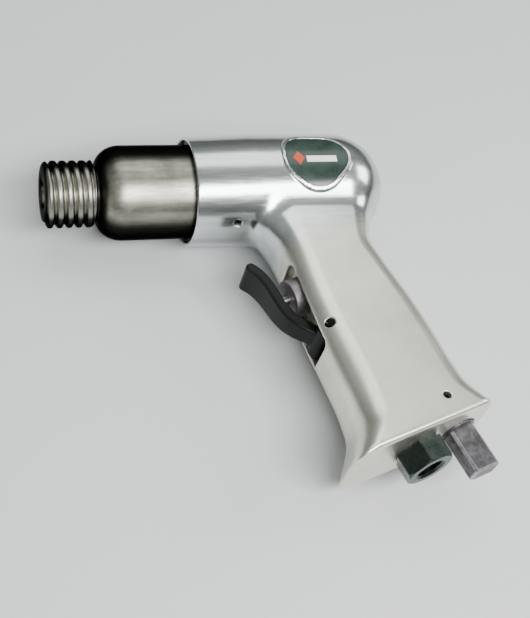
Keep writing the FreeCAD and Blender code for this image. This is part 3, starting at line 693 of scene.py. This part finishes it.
def black_steel():
    """Blackened steel with random worn blotches and rubs, a painted highlight sheen in a band on two
    opposite sides and on the thread's crests there, and painted shade on the sides away from that band, on
    the nose face and in the neck.
    """
    paint = Paint("black_steel", Metallic=1.0, Specular_Tint=(0.25, 0.25, 0.25, 1))
    around = paint.turned((0.12, 1, 1))
    rubs = paint.noise(260, 5, 0.65, around)
    fine = paint.noise(2200, 3, 0.6, around)
    blotch = paint.noise(55, 4, 0.6)
    position, out_y, out_z = (paint.axis(name) for name in "XYZ")
    reach = paint.math("SQRT", paint.math("ADD", paint.product(out_y, out_y), paint.product(out_z, out_z)))
    # flank: how squarely the surface faces the painted sheen line; it drives a painted highlight band there
    # and painted shade on the sides away from it
    towards = paint.math("ADD", paint.product(out_y, math.cos(PAINTED_SHEEN_ANGLE)),
                         paint.product(out_z, math.sin(PAINTED_SHEEN_ANGLE)))
    flank = paint.math("ABSOLUTE", paint.math("DIVIDE", towards, reach))
    from_neck = paint.away(position, NECK_MIDDLE)
    # painted light: the painted highlight band, times painted shade on the nose face and in the neck
    painted_light = paint.product(
        paint.spread(flank, 0.62, 0.80, 0.05, 1.0, smooth=True),
        paint.spread(position, NOSE_FACE_END, NOSE_FACE_SHADE_GONE, 0.10, 1.0),
        paint.spread(from_neck, NECK_SHADE_FULL, NECK_SHADE_GONE, 0.06, 1.0, smooth=True))
    # the colour's mask: random worn blotches and rubs, times the painted highlight band and its painted
    # shade
    wear_and_painted_sheen = paint.product(
        paint.spread(blotch, 0.30, 0.60, 0.45, 1.0),
        paint.spread(rubs, 0.25, 0.60, 0.4, 1.0),
        paint.spread(flank, 0.66, 0.95, 0.16, 1.0, smooth=True),
        painted_light)
    # crests: lighter where rubbed, partly a painted highlight, kept to the painted highlight band, with
    # painted shade at the nose and neck
    crest = paint.product(
        paint.spread(reach, CREST_FROM, CREST_FULL),
        paint.spread(position, CREST_GONE, CREST_LAST),
        paint.spread(rubs, 0.25, 0.5, 0.45, 1.0),
        painted_light)
    # dark steel where painted shade falls, warm light sheen where the painted highlight lies
    colour = paint.mix(wear_and_painted_sheen, (0.013, 0.0135, 0.012), (0.47, 0.46, 0.385))
    colour = paint.mix(crest, colour, (0.30, 0.295, 0.26))
    rough = paint.spread(fine, 0.3, 0.7, 0.30, 0.42)
    return paint.finish(colour, rough, paint.bump(fine, 0.12, 0.00005))


# the bare metals: name, dark tone, light tone, lowest and highest roughness, scale, CAD nodes
METALS = (
    ("matt_zinc", (0.19, 0.172, 0.182), (0.33, 0.305, 0.315), 0.46, 0.60, 220, ("throttle_bush",)),
    ("ground_steel", (0.42, 0.43, 0.45), (0.62, 0.63, 0.65), 0.18, 0.30, 150,
     ("piston", "valve_seat", "valve_disc", "valve_cap", "valve_dowel", "throttle_stem")),
    ("spring_steel", (0.30, 0.31, 0.33), (0.50, 0.51, 0.53), 0.22, 0.34, 200, ("throttle_spring",)),
    # black_oxide: the greenish tint in both tones is a painted reflection of green surroundings on the
    # black metal
    ("black_oxide", (0.028, 0.042, 0.036), (0.070, 0.090, 0.078), 0.24, 0.36, 90,
     ("lock_screw", "inlet_bushing")),
    ("blackened_pin", (0.004, 0.004, 0.004), (0.014, 0.014, 0.013), 0.35, 0.5, 300,
     ("trigger_pin", "regulator_pin")),
    ("sintered_brass", (0.48, 0.34, 0.13), (0.72, 0.55, 0.25), 0.38, 0.55, 600, ("inlet_screen",)),
)


def plain_metal(name, dark, light, low, high, scale):
    """A bare metal: cloudy colour between two tones, fine grain and a roughness range."""
    paint = Paint(name, Metallic=1.0)
    cloud = paint.noise(scale, 4, 0.6)
    fine = paint.noise(scale * 14, 3, 0.6)
    colour = paint.mix(paint.spread(cloud, 0.32, 0.68), dark, light)
    return paint.finish(colour, paint.spread(fine, 0.3, 0.7, low, high), paint.bump(fine, 0.12, 0.00004))


# metres: how wide the rubbed line along the regulator key's bevels fades
KEY_RUB_FADE = 0.0004


def key_zinc():
    """The regulator's dark zinc, mottled, with its key's bevelled edges rubbed lighter."""
    paint = Paint("key_zinc", Metallic=1.0)
    down = paint.turned(angle=LEAN)
    across = paint.away(paint.axis("X", down), (GRIP_X * math.cos(LEAN) + REGULATOR_X) * MM)
    thick = paint.math("ABSOLUTE", paint.axis("Z"))
    level = paint.up_grip(down)
    past = paint.math("SUBTRACT", (KEY_END + KEY_HALF_DEPTH) * MM, level)

    def bevel(one, other, at):
        return paint.spread(paint.math("ADD", one, other), at - KEY_RUB_FADE, at)

    side = (KEY_HALF_WIDTH + KEY_HALF_DEPTH - KEY_BEVEL) * MM
    lip = (2 * KEY_HALF_DEPTH - KEY_BEVEL) * MM
    ends = paint.math("MAXIMUM", bevel(across, past, side), bevel(thick, past, lip))
    on_key = paint.spread(level, (GRIP_BASE - 0.5) * MM, (GRIP_BASE - 1.5) * MM)
    patches = paint.spread(paint.noise(420, 4, 0.6), 0.3, 0.55, 0.35, 1.0)
    rubbed = paint.product(paint.math("MAXIMUM", bevel(across, thick, side), ends), on_key, patches)
    cloud = paint.noise(230, 5, 0.65)
    fine = paint.noise(1900, 3, 0.6)
    plain = paint.mix(paint.spread(cloud, 0.34, 0.66), (0.075, 0.073, 0.078), (0.20, 0.190, 0.198))
    colour = paint.mix(rubbed, plain, (0.50, 0.475, 0.49))
    dents = paint.bump(cloud, 0.16, 0.00012, paint.bump(fine, 0.15, 0.00004))
    return paint.finish(colour, paint.spread(fine, 0.3, 0.7, 0.36, 0.52), dents)


def moulded_black():
    """Black moulded plastic with a fine grain."""
    paint = Paint("moulded_black", Specular_IOR_Level=0.14)
    grain = paint.node("ShaderNodeTexVoronoi", Vector=paint.place, Scale=2600.0).outputs["Distance"]
    cloud = paint.noise(70, 4)
    colour = paint.mix(paint.spread(cloud, 0.3, 0.7), (0.004, 0.005, 0.0045), (0.010, 0.012, 0.011))
    return paint.finish(colour, paint.spread(cloud, 0.3, 0.7, 0.28, 0.42), paint.bump(grain, 0.18, 0.00005))


def rubber():
    """Matt black rubber."""
    paint = Paint("rubber")
    grain = paint.noise(1500, 3)
    colour = paint.mix(paint.spread(grain, 0.3, 0.7), (0.012, 0.012, 0.012), (0.035, 0.034, 0.033))
    return paint.finish(colour, paint.spread(grain, 0.3, 0.7, 0.6, 0.8), paint.bump(grain, 0.2, 0.00005))


# the badge's marks, in metres from its centre: centre x, centre y, half width, half height
RHOMBUS = (-0.0088, 0.0, 0.0026, 0.0034)
BAR = (0.0014, -0.0006, 0.0068, 0.0015)


def badge_enamel():
    """The badge: glossy dark green, with a plain orange rhombus and a white bar."""
    paint = Paint("badge_enamel", Coat_Weight=0.15, Coat_Roughness=0.12)
    east = paint.math("SUBTRACT", paint.axis("X"), BADGE_X * MM)
    north = paint.math("SUBTRACT", paint.axis("Y"), BADGE_Y * MM)

    def inside(mark, how):
        centre_x, centre_y, half_x, half_y = mark
        dx = paint.math("DIVIDE", paint.away(east, centre_x), half_x)
        dy = paint.math("DIVIDE", paint.away(north, centre_y), half_y)
        return paint.spread(paint.math(how, dx, dy), 1.03, 0.97)

    cloud = paint.noise(160, 3)
    base = paint.mix(paint.spread(cloud, 0.35, 0.65), (0.012, 0.028, 0.021), (0.026, 0.048, 0.038))
    colour = paint.mix(inside(RHOMBUS, "ADD"), base, (0.50, 0.042, 0.003))
    colour = paint.mix(inside(BAR, "MAXIMUM"), colour, (0.88, 0.87, 0.84))
    return paint.finish(colour, paint.spread(cloud, 0.3, 0.7, 0.20, 0.28))


def paint_node(name, material):
    """Gives a CAD node its finished material."""
    mesh = frame["nodes"][name].data
    mesh.materials.clear()
    mesh.materials.append(material)


def stage_floor():
    """A pale matt studio floor with a faint mottle."""
    paint = Paint("studio_floor")
    cloud = paint.noise(6, 3)
    return paint.finish(paint.mix(cloud, (0.58, 0.59, 0.60), (0.62, 0.63, 0.64)),
                        paint.spread(cloud, 0, 1, 0.75, 0.9))


def spring_piece():
    """The throttle spring, as a piece of its own."""
    node = frame["nodes"]["throttle_spring"]
    coil = bpy.data.objects.new("throttle_coil", node.data.copy())
    coil.matrix_world = node.matrix_world.copy()
    bpy.context.scene.collection.objects.link(coil)
    return coil


# ---------------------------------------------------------------- building

def build():
    """The pieces that stand for CAD nodes, and a finish for every other node."""
    shell = housing_piece()
    shell.data.materials.clear()
    shell.data.materials.append(cast_aluminium())
    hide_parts("housing")
    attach(shell, "body")
    tube = cylinder_piece()
    tube.data.materials.append(black_steel())
    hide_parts("cylinder")
    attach(tube, "body")

    finishes = [(plain_metal(*look), names) for *look, names in METALS]
    finishes += [
        (key_zinc(), ("regulator",)),
        (moulded_black(), ("trigger", "exhaust_deflector")),
        (rubber(), ("cylinder_o_ring", "valve_gasket", "poppet_washer", "stem_o_ring", "bush_o_ring",
                    "inlet_gasket", "regulator_o_ring")),
        (badge_enamel(), ("badge",)),
    ]
    for material, names in finishes:
        for name in names:
            paint_node(name, material)

    coil = spring_piece()
    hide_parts("throttle_spring")
    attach(coil, "body")
    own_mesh(coil)


# ---------------------------------------------------------------- studio, in metres

FLOOR_REACH = 3.0
FLOOR_GAP = 0.0002
CAMERA_EYE = (-0.0641, -0.300, 0.366)
CAMERA_AIM_OFFSET = (0.002, -0.002, 0.0)
CAMERA_DOWN = (-0.0133, -0.7330, -0.6800)
CAMERA_LENS = 66.0
CAMERA_SENSOR = 36.0
CAMERA_ROLL = math.radians(-0.68)
SKY_COLOUR = (0.93, 0.97, 0.95, 1)
SKY_RAMP = (("From Min", 0.05), ("From Max", 0.9), ("To Min", 0.10), ("To Max", 0.52))
# the soft lights: name, place, width and height, watts
LIGHTS = (
    ("key", (0.25, -0.58, 0.74), (0.90, 0.30), 16.0),
    ("top", (0.10, 0.46, 0.85), (0.90, 0.56), 3.4),
    ("side", (0.90, 0.05, 0.45), (0.35, 0.35), 3.0),
)


def floor_piece(level):
    """The flat floor that the tool lies on."""
    mesh = bpy.data.meshes.new("floor")
    corners = ((-1, -1), (1, -1), (1, 1), (-1, 1))
    mesh.from_pydata([(x * FLOOR_REACH, y * FLOOR_REACH, level) for x, y in corners], [], [(0, 1, 2, 3)])
    mesh.materials.append(stage_floor())
    floor = bpy.data.objects.new("floor", mesh)
    bpy.context.scene.collection.objects.link(floor)
    return floor


def aimed_camera(centre):
    """The camera: high over the tool's left side, out beyond the grip's base, looking back at it."""
    eye = Vector(CAMERA_EYE)
    forward = (centre + Vector(CAMERA_AIM_OFFSET) - eye).normalized()
    right = forward.cross(-Vector(CAMERA_DOWN)).normalized()
    right = Matrix.Rotation(CAMERA_ROLL, 3, forward) @ right
    up = right.cross(forward).normalized()
    data = bpy.data.cameras.new("camera")
    data.sensor_fit = "VERTICAL"
    data.sensor_height = CAMERA_SENSOR
    data.lens = CAMERA_LENS
    camera = bpy.data.objects.new("camera", data)
    camera.matrix_world = Matrix((
        (right.x, up.x, -forward.x, eye.x),
        (right.y, up.y, -forward.y, eye.y),
        (right.z, up.z, -forward.z, eye.z),
        (0, 0, 0, 1)))
    bpy.context.scene.collection.objects.link(camera)
    return camera


def soft_sky():
    """A plain world that grows brighter overhead."""
    world = bpy.data.worlds.new("studio")
    world.use_nodes = True
    tree = world.node_tree
    direction = tree.nodes.new("ShaderNodeTexCoord").outputs["Generated"]
    height = tree.nodes.new("ShaderNodeSeparateXYZ")
    tree.links.new(direction, height.inputs[0])
    ramp = tree.nodes.new("ShaderNodeMapRange")
    tree.links.new(height.outputs["Z"], ramp.inputs["Value"])
    for name, number in SKY_RAMP:
        ramp.inputs[name].default_value = number
    sky = tree.nodes["Background"]
    tree.links.new(ramp.outputs[0], sky.inputs["Strength"])
    sky.inputs["Color"].default_value = SKY_COLOUR
    return world


def studio():
    """Floor, camera, sky and lights."""
    low, high = (np.array(c) for c in CAD_BOX)
    centre = Vector((low + high) / 2)
    floor = floor_piece(low[2] - FLOOR_GAP)
    bpy.context.scene.camera = aimed_camera(centre)
    bpy.context.scene.world = soft_sky()
    for name, place, size, power in LIGHTS:
        light = bpy.data.lights.new(name, "AREA")
        light.shape = "RECTANGLE"
        light.size, light.size_y = size
        light.energy = power
        lamp = bpy.data.objects.new(name, light)
        lamp.location = place
        lamp.rotation_euler = (centre - Vector(place)).to_track_quat("-Z", "Y").to_euler()
        bpy.context.scene.collection.objects.link(lamp)


build()
studio()
